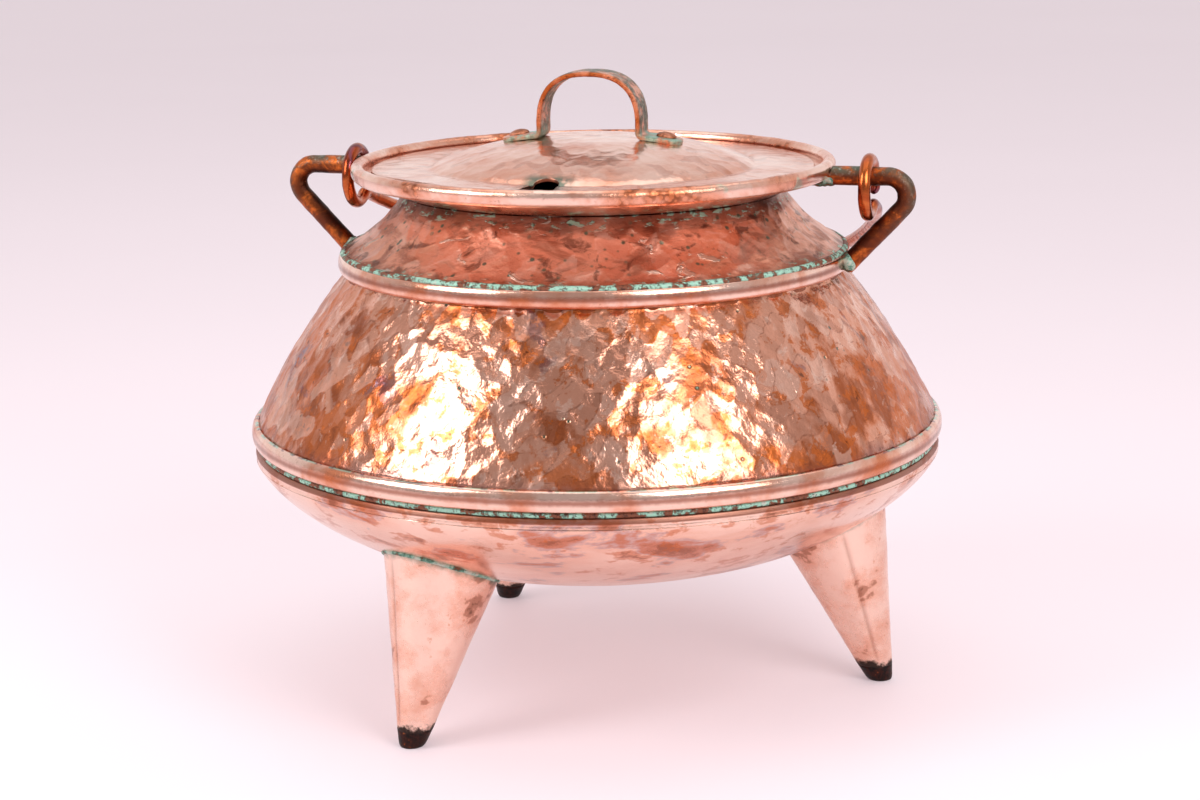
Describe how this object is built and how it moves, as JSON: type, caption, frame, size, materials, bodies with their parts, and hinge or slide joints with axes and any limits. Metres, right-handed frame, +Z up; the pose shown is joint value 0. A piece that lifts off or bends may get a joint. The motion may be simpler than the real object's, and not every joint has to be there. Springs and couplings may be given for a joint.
{
  "type": "tripod cauldron",
  "caption": "Round-bellied copper cauldron on conical feet, with a lift-off notched lid with a strap handle, rod ears and a swinging bail.",
  "frame": {"origin": "on the ground under the middle of the pot", "axes": "+Z up along the pot's axis, the two ears along X, the lid's ladle notch towards -Y, the bail resting back towards +Y"},
  "size_m": [0.33, 0.33, 0.2937],
  "materials": {
    "bowl_copper": "polished copper, pale, with brown streaks",
    "hammered_copper": "hammered copper, heat-stained orange and brown",
    "neck_copper": "hammered copper, darker and redder, with green specks",
    "rim_copper": "polished copper with orange stains",
    "bead_copper": "polished copper",
    "green_solder": "brazed joint with green verdigris",
    "grey_solder": "grey-white solder, patchy",
    "leg_copper": "polished copper with small brown stains",
    "dark_tip": "dark, scuffed copper",
    "ear_copper": "brown forged copper with green patina",
    "lid_copper": "polished copper, pale pink, small dents",
    "strap_copper": "pitted copper, green round the feet",
    "bail_copper": "dark, glossy red-brown copper"
  },
  "bodies": {
    "pot": {"bowl": "bowl_copper", "belly_shell": "hammered_copper", "neck_shell": "neck_copper", "mouth_flange": "rim_copper", "rim_wire": "rim_copper", "belly_bead": "bead_copper", "shoulder_bead": "bead_copper", "belly_seam_solder": "green_solder", "shoulder_seam_solder": "green_solder", "leg_front": "leg_copper", "leg_right": "leg_copper", "leg_rear": "leg_copper", "leg_tip_front": "dark_tip", "leg_tip_right": "dark_tip", "leg_tip_rear": "dark_tip", "leg_brazes": "green_solder", "ear_right": "ear_copper", "ear_left": "ear_copper", "ear_top_brazes": "grey_solder", "ear_foot_brazes": "grey_solder"},
    "lid": {"lid_plate": "lid_copper", "lid_handle": "strap_copper", "lid_rivets": "strap_copper", "lid_rivet_burrs": "strap_copper"},
    "bail": {"bail": "bail_copper"}
  },
  "joints": [
    {"name": "lid_lift", "type": "slide", "parent": "pot", "child": "lid", "axis": [0, 0, 1], "range_m": [0, 0.15]},
    {"name": "bail_swing", "type": "hinge", "parent": "pot", "child": "bail", "pos_m": [0, 0, 0.2465], "axis": [1, 0, 0], "range_deg": [0, 230]}
  ]
}
